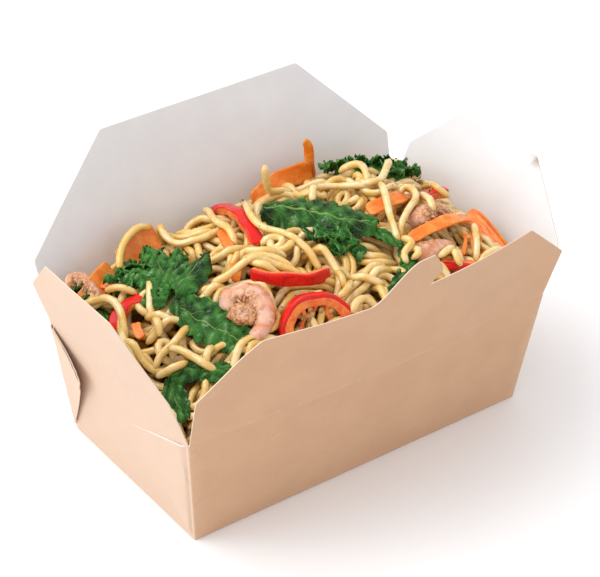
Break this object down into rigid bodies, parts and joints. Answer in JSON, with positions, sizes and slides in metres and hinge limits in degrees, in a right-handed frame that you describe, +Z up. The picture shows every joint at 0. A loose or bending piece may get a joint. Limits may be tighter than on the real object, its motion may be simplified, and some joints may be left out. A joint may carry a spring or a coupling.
{
  "type": "takeaway noodle box",
  "caption": "Open kraft card takeaway box with hinged lid flaps, heaped with noodles, prawns, curly kale, red pepper and carrot ribbons.",
  "frame": {"origin": "centre of the flat underside, on the surface the box stands on", "axes": "+Z up, X along the long side, Y across it; the flap with the rounded locking tab is on the -Y side"},
  "size_m": [0.2306, 0.1646, 0.1316],
  "materials": {
    "kraft_card": "uncoated kraft card, brown outside and white inside",
    "noodle": "moist, pale yellow, lightly oiled",
    "prawn": "cooked, pink and orange, moist",
    "kale": "cooked dark green leaf with a wet shine",
    "red_pepper": "glossy red skin",
    "carrot": "moist orange"
  },
  "bodies": {
    "tray": {"carrot_back": "carrot", "carrot_back_left": "carrot", "carrot_centre": "carrot", "carrot_end_a": "carrot", "carrot_end_b": "carrot", "carrot_far_left": "carrot", "carrot_left": "carrot", "carrot_left_low": "carrot", "carrot_middle": "carrot", "carrot_right": "carrot", "carrot_upright": "carrot", "kale_back": "kale", "kale_bunch": "kale", "kale_cluster": "kale", "kale_far_left": "kale", "kale_left_edge": "kale", "kale_lobe": "kale", "kale_long": "kale", "kale_low_front": "kale", "kale_low_left": "kale", "kale_low_middle": "kale", "kale_middle": "kale", "kale_strip": "kale", "noodle_heap": "noodle", "pepper_back": "red_pepper", "pepper_front": "red_pepper", "pepper_left": "red_pepper", "pepper_low_right": "red_pepper", "pepper_middle": "red_pepper", "pepper_right": "red_pepper", "prawn_front": "prawn", "prawn_left": "prawn", "prawn_right": "prawn", "prawn_right_low": "prawn", "tray": "kraft_card"},
    "flap_front": {"flap_front": "kraft_card"},
    "flap_back": {"flap_back": "kraft_card"},
    "flap_left": {"flap_left": "kraft_card"},
    "flap_right": {"flap_right": "kraft_card"}
  },
  "joints": [
    {"name": "front_crease", "type": "hinge", "parent": "tray", "child": "flap_front", "pos_m": [0, -0.0559, 0.0601], "axis": [1, 0, 0], "range_deg": [-15, 80]},
    {"name": "back_crease", "type": "hinge", "parent": "tray", "child": "flap_back", "pos_m": [0, 0.0559, 0.0601], "axis": [-1, 0, 0], "range_deg": [-16, 80]},
    {"name": "left_crease", "type": "hinge", "parent": "tray", "child": "flap_left", "pos_m": [-0.0974, 0, 0.0601], "axis": [0, -1, 0], "range_deg": [-18, 80]},
    {"name": "right_crease", "type": "hinge", "parent": "tray", "child": "flap_right", "pos_m": [0.0974, 0, 0.0601], "axis": [0, 1, 0], "range_deg": [-18, 80]}
  ]
}
